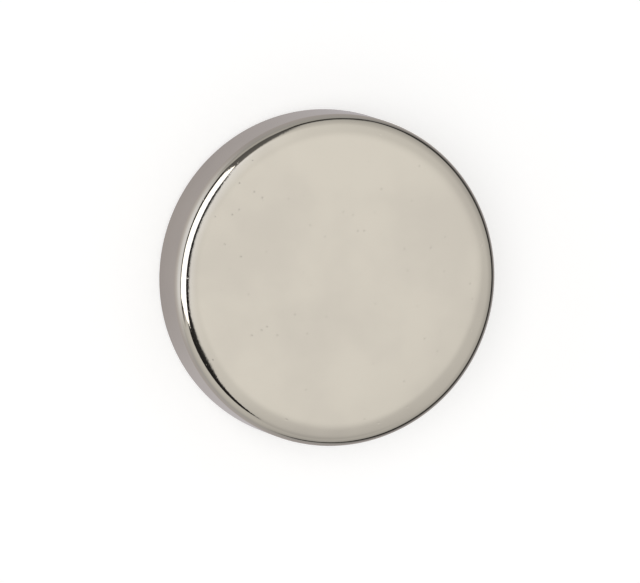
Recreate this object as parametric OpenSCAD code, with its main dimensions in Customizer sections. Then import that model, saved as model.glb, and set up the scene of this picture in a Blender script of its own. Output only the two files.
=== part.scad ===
// Disc magnet: a flat round magnet, pressed and sintered, tumbled to soften its edges, then nickel plated.
// It is one solid of revolution. Z runs along its axis, and Z = 0 is the pole face that it lies on.
// All sizes are in millimetres.

/* [Disc] */
// Diameter over the rim
disc_d = 18; // [6:0.5:60]
// Thickness from one pole face to the other
disc_t = 4; // [2.5:0.1:20]

/* [Edges] */
// Radius of the tumbled corner between each pole face and the rim
corner_r = 0.6; // [0.2:0.05:0.8]
// Width of the band where each pole face rolls off, out to the centre of the corner's arc
rolloff_w = 0.725; // [0.3:0.025:1.5]
// Radius of the long arc that this band follows, level where the flat of the face ends
rolloff_r = 11.125; // [8:0.125:40]

/* [Hidden] */

// Smoothness of the circles
$fn = 240;

// The section is drawn from the mid-plane up, so its height is half the thickness
rim_r = disc_d / 2;
half_t = disc_t / 2;

// The corner's arc meets the upright rim, and the flat of the face ends one band inside its centre
corner_x = rim_r - corner_r;
flat_r = corner_x - rolloff_w;

// The long arc's centre is straight below the place where the flat ends
rolloff_z = half_t - rolloff_r;

// The corner stands proud of the long arc by a hair, so at any size the two cross and leave no step
proud = 0.00002;

// The corner lies inside the long arc and all but touches it, so their centres are this far apart
centres_apart = rolloff_r - corner_r;
corner_z = rolloff_z + sqrt(centres_apart ^ 2 - rolloff_w ^ 2) + proud;
corner_start_x = corner_x + corner_r * rolloff_w / centres_apart;

// The flat of the face, down to the mid-plane
module flat_section() {
    square([flat_r, half_t]);
}

// The band that rolls off, under its long shallow arc
module rolloff_section() {
    intersection() {
        translate([flat_r, 0]) square([corner_start_x - flat_r, half_t]);
        translate([flat_r, rolloff_z]) circle(r = rolloff_r);
    }
}

// The tumbled corner's whole circle, and the upright rim below it, both reaching in under the band
module corner_section() {
    translate([corner_x, corner_z]) circle(r = corner_r);
    translate([flat_r, 0]) square([rim_r - flat_r, corner_z]);
}

// The section from the axis to the rim, between the mid-plane and a pole face
module upper_section() {
    flat_section();
    rolloff_section();
    corner_section();
}

// The whole disc: the same section above and below the mid-plane, turned about the axis
module magnet_disc() {
    color("#CFC8BC")
    translate([0, 0, half_t])
    rotate_extrude() {
        upper_section();
        mirror([0, 1]) upper_section();
    }
}

magnet_disc();
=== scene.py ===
"""A nickel plated disc magnet lying on a pale board, under the soft light of a small product studio."""

import math

import bpy
from mathutils import Matrix, Vector


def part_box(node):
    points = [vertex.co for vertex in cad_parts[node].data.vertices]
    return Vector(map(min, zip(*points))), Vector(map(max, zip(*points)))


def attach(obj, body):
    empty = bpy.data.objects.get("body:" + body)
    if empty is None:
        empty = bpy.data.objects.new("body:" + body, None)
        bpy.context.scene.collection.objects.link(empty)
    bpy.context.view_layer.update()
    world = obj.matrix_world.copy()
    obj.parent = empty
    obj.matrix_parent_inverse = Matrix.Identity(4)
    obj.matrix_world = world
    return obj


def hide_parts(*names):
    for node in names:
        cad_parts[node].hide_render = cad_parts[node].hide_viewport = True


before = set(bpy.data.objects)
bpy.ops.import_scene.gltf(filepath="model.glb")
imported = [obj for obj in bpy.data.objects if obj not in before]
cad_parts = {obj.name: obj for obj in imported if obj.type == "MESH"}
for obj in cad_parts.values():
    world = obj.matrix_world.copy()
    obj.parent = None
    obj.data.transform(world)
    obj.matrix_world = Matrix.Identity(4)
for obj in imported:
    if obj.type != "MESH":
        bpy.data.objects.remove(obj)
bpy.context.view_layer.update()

MM = 0.001

# ---- Sizes of the disc ----------------------------------------------------------------

low_corner, high_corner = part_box("magnet_disc")
DISC_DIAMETER = high_corner.x - low_corner.x
DISC_THICKNESS = high_corner.z - low_corner.z
RIM_RADIUS = DISC_DIAMETER / 2

# The tumbled corner, and the band inside it where each pole face rolls off
CORNER_RADIUS = 0.6 * MM
ROLLOFF_WIDTH = 0.725 * MM
ROLLOFF_RADIUS = 11.125 * MM

# How finely the section and the turn are divided
TURN_STEPS = 288
FLAT_STEPS = 4
ROLLOFF_STEPS = 8
CORNER_STEPS = 32
RIM_STEPS = 8
MERGE_DISTANCE = 0.001 * MM

# ---- Unevenness of the plate ----------------------------------------------------------

# Clouds in its tone, and the noise values between which they go from dull to pale
CLOUD_WIDTH = 5 * MM
CLOUD_DULL = 0.3
CLOUD_PALE = 0.65

# Both faces are slightly crowned. They fall this far at the rim, by this power of the radius
CROWN_FALL = 0.035 * MM
CROWN_POWER = 4.0

# One side is worn. Past a line this far from the middle, the faces fall by the square of the distance past
# it, times this curve, which is in units of 1 over a metre
WORN_TURN = -42
WORN_LINE = 5 * MM
WORN_CURVE = 4.2

# Slow waves
WAVE_WIDTH = 4 * MM
WAVE_HEIGHT = 0.02 * MM

# Knocks from tumbling, which set in over this width to either side of where the corner begins
KNOCK_WIDTH = 0.2 * MM
KNOCK_HEIGHT = 0.0018 * MM
KNOCK_FADE = 0.2 * MM

# The real grain, 0.01 mm, is too fine to show, so it is drawn at 0.15 mm
GRAIN_WIDTH = 0.15 * MM
GRAIN_HEIGHT = 0.00015 * MM

# Pits, with the radius of their bottom and of their mouth
PIT_SPACING = 0.7 * MM
PIT_DEPTH = 0.0025 * MM
PIT_BOTTOM = 0.02 * MM
PIT_MOUTH = 0.07 * MM

# ---- Camera and board -----------------------------------------------------------------

# The camera looks down on the disc, tilted off its axis towards the upper left of the picture, in degrees
CAMERA_TILT = 17.3
CAMERA_TURN = 159.8
CAMERA_DISTANCE = 900 * MM
CAMERA_SENSOR = 36
# Width of the view at the disc, and how far right of and above its middle the disc lies, in disc diameters
VIEW_WIDTH = 1.9195
DISC_RIGHT = 0.0213
DISC_UP = 0.0421

BOARD_SIZE = 3.0
# The board lies a hair below the disc, so the two surfaces don't coincide
BOARD_DROP = 0.01 * MM
# How far out from the rim half of the change in the board's painted light and shade is done
BOARD_HALFWAY = 10 * MM
# Its soft sectors, each with its turn, its tilt and the angles from its middle to its edge and core
FRONT_SIDE = (225, 90, 50, 10)
LEFT_SIDE = (167, 90, 50, 15)
RIGHT_SIDE = (-8, 90, 80, 50)
# Painted light and shade that the disc mirrors in the board: the painted shade behind it, how much more
# painted light in front, the painted shade at the rim on the left, and how much more painted light far out
# there
BOARD_PAINTED_SHADE = 0.48
FRONT_PAINTED_LIGHT = 0.05
LEFT_PAINTED_SHADE = 0.44
LEFT_PAINTED_LIGHT = 0.55
# On the right, the painted light at the rim and the power by which it falls off into painted shade
RIGHT_PAINTED_LIGHT = 0.85
RIGHT_PAINTED_SHADE_POWER = 1.5
# What the board gives off by itself where the camera sees it
BOARD_GLOW = 0.545

# ---- Light ----------------------------------------------------------------------------

# The tent's light at the height of the board, how much more it has at the top, and a glow close round the
# top, with the most that they come to together
TENT_LOW = 0.41
TENT_RISE = 0.28
TOP_GLOW = 0.0072
TOP_GLOW_END = 1.002
TENT_MOST = 1.15

# Soft round patches, each with its turn, its tilt and the angles from its middle to its edge and core
LOW_LAMP = (167, 82, 42, 15)
FACE_SHEET = (342, 19, 6.5, 0)
FRONT_SPILL = (225, 75, 50, 10)
DIM_PATCH = (290, 30, 22, 8)
# What each adds to the light, and the share that the dim one takes
PALE_PATCHES = [(FACE_SHEET, 0.15), (LOW_LAMP, 0.55), (FRONT_SPILL, 0.12)]
DIM_SHARE = 0.17

# The room, which is dark on one side and below the tent. The second patch is inside out: its core angle is
# the larger one, so it is 0 up to its edge and 1 past its core
ROOM_SIDE = (-15, 90, 85, 70)
ROOM_BELOW = (0, 0, 74, 84)
ROOM_SHARE = 0.95

# The window, by its corners as turns and tilts, with the softness of its edges
WINDOW_CORNERS = [(0, 5), (110, 22.5), (127, 47), (193, 54), (210, 33), (232, 17), (250, 9)]
WINDOW_SOFTNESS = 1
WINDOW_LIGHT = 2.2

# Dark flags round the window: corners, softness and the share of the light that they take.
# A broad one beside it, strips over the top and in front of it, one below it, and one down to the board
FLAGS = [
    ([(70, 5), (87, 63), (128, 63), (127, 45)], 8, 0.8),
    ([(0, 9), (318, 10.6), (290, 9.8), (250, 12), (90, 2), (60, 7), (15, 8.2)], 0.8, 0.97),
    ([(318, 10), (313, 13.4), (276, 30.5), (262, 34), (220, 35), (206, 24), (250, 6)], 1, 0.97),
    ([(126, 68), (204, 62), (203, 46), (126, 49)], 8, 0.93),
    ([(95, 52), (60, 73), (57, 90), (92, 70)], 10, 0.93)]

# Round the top, the light is cool
COOL_TOP = (0, 0, 14, 5)
BACKDROP_LIGHT = 0.98


def linear_colour(hex_colour):
    """An sRGB hex colour as the linear RGBA that shaders take."""
    parts = [int(hex_colour[i:i + 2], 16) / 255 for i in (1, 3, 5)]
    linear = [p / 12.92 if p <= 0.04045 else ((p + 0.055) / 1.055) ** 2.4 for p in parts]
    return (*linear, 1.0)


def add_node(tree, kind, settings=None, inputs=None, output=0):
    """Adds one node, with its settings, and each input set to a value or linked to another node's output.

    Gives back one of its outputs, by name or number, or nothing if it has none.
    """
    node = tree.nodes.new(kind)
    for name, value in (settings or {}).items():
        setattr(node, name, value)
    for name, value in (inputs or {}).items():
        socket = node.inputs[name]
        if isinstance(value, bpy.types.NodeSocket):
            tree.links.new(value, socket)
        else:
            socket.default_value = value
    return node.outputs[output] if node.outputs else None


def empty_tree(owner):
    """The node tree of a material or world, with nothing in it."""
    owner.use_nodes = True
    owner.node_tree.nodes.clear()
    return owner.node_tree


def towards(turn, tilt):
    """The direction at this turn about the vertical and this tilt down from straight up, both in degrees."""
    turn, tilt = math.radians(turn), math.radians(tilt)
    return Vector((math.sin(tilt) * math.cos(turn), math.sin(tilt) * math.sin(turn), math.cos(tilt)))


def round_patch(tree, direction, turn, tilt, edge, core):
    """How much of a soft round patch lies in a direction: 0 outside its edge and 1 inside its core.

    Its middle is at this turn and tilt. The edge and the core are angles from the middle, in degrees.
    """
    nearness = add_node(tree, "ShaderNodeVectorMath", {"operation": "DOT_PRODUCT"}, {
        0: direction, 1: towards(turn, tilt)}, "Value")
    return add_node(tree, "ShaderNodeMapRange", {"interpolation_type": "SMOOTHSTEP"}, {
        "Value": nearness,
        "From Min": math.cos(math.radians(edge)), "From Max": math.cos(math.radians(core))})


# ---- The disc -------------------------------------------------------------------------

def arc(centre, radius, start, stop, steps):
    """Points along an arc of the section, by the surface's slope: 0 on a face, a quarter turn on the rim."""
    slopes = [start + (stop - start) * i / steps for i in range(steps + 1)]
    return [(centre[0] + radius * math.sin(s), centre[1] + radius * math.cos(s)) for s in slopes]


def upper_section():
    """The section from the axis out to the rim and down to the mid-plane, as (radius, height above it)."""
    half = DISC_THICKNESS / 2
    corner_x = RIM_RADIUS - CORNER_RADIUS
    flat_radius = corner_x - ROLLOFF_WIDTH
    centres_apart = ROLLOFF_RADIUS - CORNER_RADIUS
    rolloff_slope = math.asin(ROLLOFF_WIDTH / centres_apart)
    rolloff_z = half - ROLLOFF_RADIUS
    corner_z = rolloff_z + centres_apart * math.cos(rolloff_slope)
    flat = [(flat_radius * i / FLAT_STEPS, half) for i in range(FLAT_STEPS)]
    rolloff = arc((flat_radius, rolloff_z), ROLLOFF_RADIUS, 0, rolloff_slope, ROLLOFF_STEPS)
    corner = arc((corner_x, corner_z), CORNER_RADIUS, rolloff_slope, math.pi / 2, CORNER_STEPS)
    rim = [(RIM_RADIUS, corner_z * (1 - i / RIM_STEPS)) for i in range(1, RIM_STEPS + 1)]
    return flat + rolloff + corner[1:] + rim


def turned_disc():
    """The disc, turned on its axis from its section: one vertex is extruded along the section, then spun."""
    half = upper_section()
    section = half + [(x, -z) for x, z in reversed(half[:-1])]
    middle = DISC_THICKNESS / 2
    bpy.ops.object.select_all(action="DESELECT")
    bpy.ops.mesh.primitive_plane_add(size=DISC_DIAMETER, location=(0, 0, DISC_THICKNESS))
    disc = bpy.context.object
    disc.name = "nickel_plated_disc"
    bpy.ops.object.transform_apply(location=True, rotation=True, scale=True)
    bpy.ops.object.mode_set(mode="EDIT")
    bpy.ops.mesh.select_mode(type="VERT")
    bpy.ops.mesh.select_all(action="SELECT")
    bpy.ops.mesh.merge(type="CENTER")
    for (x0, z0), (x1, z1) in zip(section, section[1:]):
        bpy.ops.mesh.extrude_region_move(TRANSFORM_OT_translate={"value": (x1 - x0, 0, z1 - z0)})
    bpy.ops.mesh.select_all(action="SELECT")
    bpy.ops.mesh.spin(steps=TURN_STEPS, angle=2 * math.pi, center=(0, 0, middle), axis=(0, 0, 1))
    bpy.ops.mesh.select_all(action="SELECT")
    bpy.ops.mesh.remove_doubles(threshold=MERGE_DISTANCE)
    bpy.ops.mesh.normals_make_consistent(inside=False)
    bpy.ops.object.mode_set(mode="OBJECT")
    bpy.ops.object.shade_smooth()
    return disc


# ---- Finishes -------------------------------------------------------------------------

def nickel_plate():
    """Bright nickel plating on a tumbled, sintered disc.

    A warm grey mirror. The pressed faces are not quite flat, so what they mirror is a little cloudy. Tumbling
    has left the edges uneven, which frays the reflections there, and grains pulled out have left faint pits.
    """
    material = bpy.data.materials.new("nickel_plate")
    tree = empty_tree(material)
    position = add_node(tree, "ShaderNodeTexCoord", output="Object")

    # Clouds in the plating, from a duller grey to a paler one that is a little greener
    cloud = add_node(tree, "ShaderNodeTexNoise", inputs={
        "Vector": position, "Scale": 1 / CLOUD_WIDTH, "Detail": 3.0})
    cloud = add_node(tree, "ShaderNodeMapRange", {"interpolation_type": "SMOOTHSTEP"}, {
        "Value": cloud, "From Min": CLOUD_DULL, "From Max": CLOUD_PALE})
    tint = add_node(tree, "ShaderNodeMix", {"data_type": "RGBA"}, {
        0: cloud, 6: linear_colour("#CFC8BC"), 7: linear_colour("#D6CFC2")}, 2)

    # Both faces are slightly crowned, most of it near the rim
    level = add_node(tree, "ShaderNodeVectorMath", {"operation": "MULTIPLY"}, {0: position, 1: (1, 1, 0)})
    radius = add_node(tree, "ShaderNodeVectorMath", {"operation": "LENGTH"}, {0: level}, "Value")
    share = add_node(tree, "ShaderNodeMath", {"operation": "DIVIDE"}, {0: radius, 1: RIM_RADIUS})
    crown = add_node(tree, "ShaderNodeMath", {"operation": "POWER"}, {0: share, 1: CROWN_POWER})

    # The worn side falls away in a shallow curve
    aside = add_node(tree, "ShaderNodeVectorMath", {"operation": "DOT_PRODUCT"}, {
        0: position, 1: towards(WORN_TURN, 90)}, "Value")
    past = add_node(tree, "ShaderNodeMath", {"operation": "SUBTRACT"}, {0: aside, 1: WORN_LINE})
    past = add_node(tree, "ShaderNodeMath", {"operation": "MAXIMUM"}, {0: past, 1: 0.0})
    worn = add_node(tree, "ShaderNodeMath", {"operation": "MULTIPLY"}, {0: past, 1: past})

    # Slow waves over all of it
    waves = add_node(tree, "ShaderNodeTexNoise", inputs={
        "Vector": position, "Scale": 1 / WAVE_WIDTH, "Detail": 1.0})

    # Knocks along the tumbled edge
    corner_start = RIM_RADIUS - CORNER_RADIUS
    tumbled = add_node(tree, "ShaderNodeMapRange", {"interpolation_type": "SMOOTHSTEP"}, {
        "Value": radius, "From Min": corner_start - KNOCK_FADE, "From Max": corner_start + KNOCK_FADE})
    knocks = add_node(tree, "ShaderNodeTexNoise", inputs={
        "Vector": position, "Scale": 1 / KNOCK_WIDTH, "Detail": 1.0})
    edge = add_node(tree, "ShaderNodeMath", {"operation": "MULTIPLY"}, {0: knocks, 1: tumbled})

    grain = add_node(tree, "ShaderNodeTexNoise", inputs={
        "Vector": position, "Scale": 1 / GRAIN_WIDTH, "Detail": 1.0})

    # Each pit is where the surface cuts a small ball round a point, and there is one point to each cell
    nearest = add_node(tree, "ShaderNodeTexVoronoi", inputs={
        "Vector": position, "Scale": 1 / PIT_SPACING}, output="Distance")
    filled = add_node(tree, "ShaderNodeMapRange", {"interpolation_type": "SMOOTHSTEP"}, {
        "Value": nearest, "From Min": PIT_BOTTOM / PIT_SPACING, "From Max": PIT_MOUTH / PIT_SPACING})

    # All of these add up to one height, in metres
    height = 0.0
    for pattern, rise in [(crown, -CROWN_FALL), (worn, -WORN_CURVE), (waves, WAVE_HEIGHT),
                          (edge, KNOCK_HEIGHT), (grain, GRAIN_HEIGHT), (filled, PIT_DEPTH)]:
        height = add_node(tree, "ShaderNodeMath", {"operation": "MULTIPLY_ADD"}, {
            0: pattern, 1: rise, 2: height})
    normal = add_node(tree, "ShaderNodeBump", inputs={"Height": height, "Distance": 1.0})

    shader = add_node(tree, "ShaderNodeBsdfPrincipled", inputs={
        "Base Color": tint, "Metallic": 1.0, "Roughness": 0.05, "Normal": normal})
    add_node(tree, "ShaderNodeOutputMaterial", inputs={"Surface": shader})
    return material


def matt_board_and_painted_light():
    """Matt painted board: white to the camera, with a soft shadow where the disc stands.

    The disc mirrors painted light and shade on it, as a real board under this light would look from close by:
    painted shadow dim beside the disc, painted lamplight paler further out on the left, and painted shade
    lost in the dark of the room on the right.
    """
    material = bpy.data.materials.new("matt_white_board_painted_light")
    tree = empty_tree(material)
    position = add_node(tree, "ShaderNodeTexCoord", output="Object")
    distance = add_node(tree, "ShaderNodeVectorMath", {"operation": "LENGTH"}, {0: position}, "Value")
    outward = add_node(tree, "ShaderNodeVectorMath", {"operation": "NORMALIZE"}, {0: position})

    # Goes from 0 at the rim to 1 far away
    clear = add_node(tree, "ShaderNodeMath", {"operation": "SUBTRACT"}, {0: distance, 1: RIM_RADIUS})
    whole = add_node(tree, "ShaderNodeMath", {"operation": "ADD"}, {0: clear, 1: BOARD_HALFWAY})
    reach = add_node(tree, "ShaderNodeMath", {"operation": "DIVIDE"}, {0: clear, 1: whole})

    # Painted shade: in front and behind it is evenly dim, a little less so in front
    front = round_patch(tree, outward, *FRONT_SIDE)
    painted_light_and_shade = add_node(tree, "ShaderNodeMath", {"operation": "MULTIPLY_ADD"}, {
        0: front, 1: FRONT_PAINTED_LIGHT, 2: BOARD_PAINTED_SHADE})
    # On the left, painted lamplight: it gets paler with distance
    left = round_patch(tree, outward, *LEFT_SIDE)
    painted_lamplight = add_node(tree, "ShaderNodeMath", {"operation": "MULTIPLY_ADD"}, {
        0: reach, 1: LEFT_PAINTED_LIGHT, 2: LEFT_PAINTED_SHADE})
    painted_light_and_shade = add_node(tree, "ShaderNodeMix", inputs={"Factor": left, "A": painted_light_and_shade, "B": painted_lamplight})
    # On the right, painted shade of the room: it gets darker with distance
    right = round_patch(tree, outward, *RIGHT_SIDE)
    near = add_node(tree, "ShaderNodeMath", {"operation": "SUBTRACT"}, {0: 1.0, 1: reach})
    fall = add_node(tree, "ShaderNodeMath", {"operation": "POWER"}, {0: near, 1: RIGHT_PAINTED_SHADE_POWER})
    painted_room_shade = add_node(tree, "ShaderNodeMath", {"operation": "MULTIPLY"}, {0: fall, 1: RIGHT_PAINTED_LIGHT})
    painted_light_and_shade = add_node(tree, "ShaderNodeMix", inputs={"Factor": right, "A": painted_light_and_shade, "B": painted_room_shade})

    # The painted light and shade glow as an emission, warmer by the rim and cooler far out
    colour = add_node(tree, "ShaderNodeMix", {"data_type": "RGBA"}, {
        0: reach, 6: linear_colour("#FFF9FC"), 7: linear_colour("#F6F9FF")}, 2)
    painted_light_emission = add_node(tree, "ShaderNodeEmission", inputs={"Color": colour, "Strength": painted_light_and_shade})

    paint = add_node(tree, "ShaderNodeBsdfDiffuse", inputs={"Color": linear_colour("#CFCECC")})
    glow = add_node(tree, "ShaderNodeEmission", inputs={
        "Color": linear_colour("#FFFFFF"), "Strength": BOARD_GLOW})
    seen = add_node(tree, "ShaderNodeAddShader", inputs={0: paint, 1: glow})
    # Camera rays see the paint and its glow; all other rays, the disc's mirror among them, see the painted
    # light and shade
    by_camera = add_node(tree, "ShaderNodeLightPath", output="Is Camera Ray")
    surface = add_node(tree, "ShaderNodeMixShader", inputs={0: by_camera, 1: painted_light_emission, 2: seen})

    # It has one side only, and it is open under the disc, so the disc's underside shows from below
    behind = add_node(tree, "ShaderNodeNewGeometry", output="Backfacing")
    under = add_node(tree, "ShaderNodeMath", {"operation": "LESS_THAN"}, {
        0: distance, 1: RIM_RADIUS - CORNER_RADIUS})
    opened = add_node(tree, "ShaderNodeMath", {"operation": "MAXIMUM"}, {0: behind, 1: under})
    nothing = add_node(tree, "ShaderNodeBsdfTransparent")
    surface = add_node(tree, "ShaderNodeMixShader", inputs={0: opened, 1: surface, 2: nothing})
    add_node(tree, "ShaderNodeOutputMaterial", inputs={"Surface": surface})
    return material


# ---- Studio ---------------------------------------------------------------------------

def card(tree, direction, corners, softness):
    """How much of a flat card with soft edges lies in a direction, from 0 outside it to 1 inside.

    Its corners are (turn, tilt) pairs in order round it, and the softness of its edges is in degrees.
    """
    ways = [towards(turn, tilt) for turn, tilt in corners]
    middle = sum(ways, Vector())
    half_soft = math.radians(softness) / 2
    covered = 1.0
    for way, after in zip(ways, ways[1:] + ways[:1]):
        across = way.cross(after).normalized()
        if across.dot(middle) < 0:
            across = -across
        past_edge = add_node(tree, "ShaderNodeVectorMath", {"operation": "DOT_PRODUCT"}, {
            0: direction, 1: across}, "Value")
        inside = add_node(tree, "ShaderNodeMapRange", {"interpolation_type": "SMOOTHSTEP"}, {
            "Value": past_edge, "From Min": -half_soft, "From Max": half_soft})
        covered = add_node(tree, "ShaderNodeMath", {"operation": "MULTIPLY"}, {0: covered, 1: inside})
    return covered


def light_studio():
    """The studio as the disc sees it.

    A grey tent is brightest near the top, and a strong window lies left of the top in a frame of dark flags.
    On the left a lamp low down lights the tent, and on the right the tent ends in the dark of the room.
    """
    world = bpy.data.worlds.new("studio")
    bpy.context.scene.world = world
    tree = empty_tree(world)
    direction = add_node(tree, "ShaderNodeTexCoord", output="Generated")
    height = add_node(tree, "ShaderNodeSeparateXYZ", inputs={0: direction}, output="Z")
    height = add_node(tree, "ShaderNodeMath", {"operation": "ABSOLUTE"}, {0: height})

    # The tent grows paler with height, steeply so near the top, and is the same below for the underside
    light = add_node(tree, "ShaderNodeMath", {"operation": "MULTIPLY_ADD"}, {
        0: height, 1: TENT_RISE, 2: TENT_LOW})
    short_of_top = add_node(tree, "ShaderNodeMath", {"operation": "SUBTRACT"}, {0: TOP_GLOW_END, 1: height})
    glow = add_node(tree, "ShaderNodeMath", {"operation": "DIVIDE"}, {0: TOP_GLOW, 1: short_of_top})
    light = add_node(tree, "ShaderNodeMath", {"operation": "ADD"}, {0: light, 1: glow})
    light = add_node(tree, "ShaderNodeMath", {"operation": "MINIMUM"}, {0: light, 1: TENT_MOST})

    # Pale patches on it: a sheet mirrored in the upper face, the low lamp, and its spill in front
    for patch, strength in PALE_PATCHES:
        light = add_node(tree, "ShaderNodeMath", {"operation": "MULTIPLY_ADD"}, {
            0: round_patch(tree, direction, *patch), 1: strength, 2: light})

    # The dark flags, a broad dim patch on the tent, and the room
    shades = [(card(tree, direction, corners, softness), share) for corners, softness, share in FLAGS]
    shades.append((round_patch(tree, direction, *DIM_PATCH), DIM_SHARE))
    room = add_node(tree, "ShaderNodeMath", {"operation": "MULTIPLY"}, {
        0: round_patch(tree, direction, *ROOM_SIDE), 1: round_patch(tree, direction, *ROOM_BELOW)})
    shades.append((room, ROOM_SHARE))
    for shade, share in shades:
        passed = add_node(tree, "ShaderNodeMath", {"operation": "MULTIPLY_ADD"}, {
            0: shade, 1: -share, 2: 1.0})
        light = add_node(tree, "ShaderNodeMath", {"operation": "MULTIPLY"}, {0: light, 1: passed})

    window = card(tree, direction, WINDOW_CORNERS, WINDOW_SOFTNESS)
    light = add_node(tree, "ShaderNodeMix", inputs={"Factor": window, "A": light, "B": WINDOW_LIGHT})

    # The low lamp and the top, where the window begins, are cooler than the tent
    cool = add_node(tree, "ShaderNodeMath", {"operation": "MAXIMUM"}, {
        0: round_patch(tree, direction, *LOW_LAMP), 1: round_patch(tree, direction, *COOL_TOP)})
    colour = add_node(tree, "ShaderNodeMix", {"data_type": "RGBA"}, {
        0: cool, 6: linear_colour("#FFFFFF"), 7: linear_colour("#F4F7FF")}, 2)

    # Seen past the board's edge, the studio is a plain pale backdrop
    by_camera = add_node(tree, "ShaderNodeLightPath", output="Is Camera Ray")
    studio = add_node(tree, "ShaderNodeBackground", inputs={"Color": colour, "Strength": light})
    backdrop = add_node(tree, "ShaderNodeBackground", inputs={
        "Color": linear_colour("#FFFFFF"), "Strength": BACKDROP_LIGHT})
    surface = add_node(tree, "ShaderNodeMixShader", inputs={0: by_camera, 1: studio, 2: backdrop})
    add_node(tree, "ShaderNodeOutputWorld", inputs={"Surface": surface})


def set_board():
    """The board that the disc lies on, wide enough to fill the view."""
    bpy.ops.object.select_all(action="DESELECT")
    bpy.ops.mesh.primitive_plane_add(size=BOARD_SIZE, location=(0, 0, low_corner.z - BOARD_DROP))
    board = bpy.context.object
    board.name = "board"
    board.data.materials.append(matt_board_and_painted_light())


def place_camera():
    """A long lens, so the disc's two rims keep the same size."""
    towards_camera = towards(CAMERA_TURN, CAMERA_TILT)
    right = Vector((0, 1, 0)).cross(towards_camera).normalized()
    upward = towards_camera.cross(right)
    middle = (low_corner + high_corner) / 2
    aim = middle - (right * DISC_RIGHT + upward * DISC_UP) * DISC_DIAMETER
    data = bpy.data.cameras.new("camera")
    data.sensor_width = CAMERA_SENSOR
    data.lens = CAMERA_SENSOR * CAMERA_DISTANCE / (VIEW_WIDTH * DISC_DIAMETER)
    data.clip_start = CAMERA_DISTANCE / 100
    camera = bpy.data.objects.new("camera", data)
    bpy.context.scene.collection.objects.link(camera)
    turned = Matrix((right, upward, towards_camera)).transposed().to_4x4()
    camera.matrix_world = Matrix.Translation(aim + towards_camera * CAMERA_DISTANCE) @ turned
    bpy.context.scene.camera = camera


place_camera()
disc = turned_disc()
disc.data.materials.append(nickel_plate())
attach(disc, "root")
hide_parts("magnet_disc")

set_board()
light_studio()
bpy.context.scene.view_settings.view_transform = "Standard"
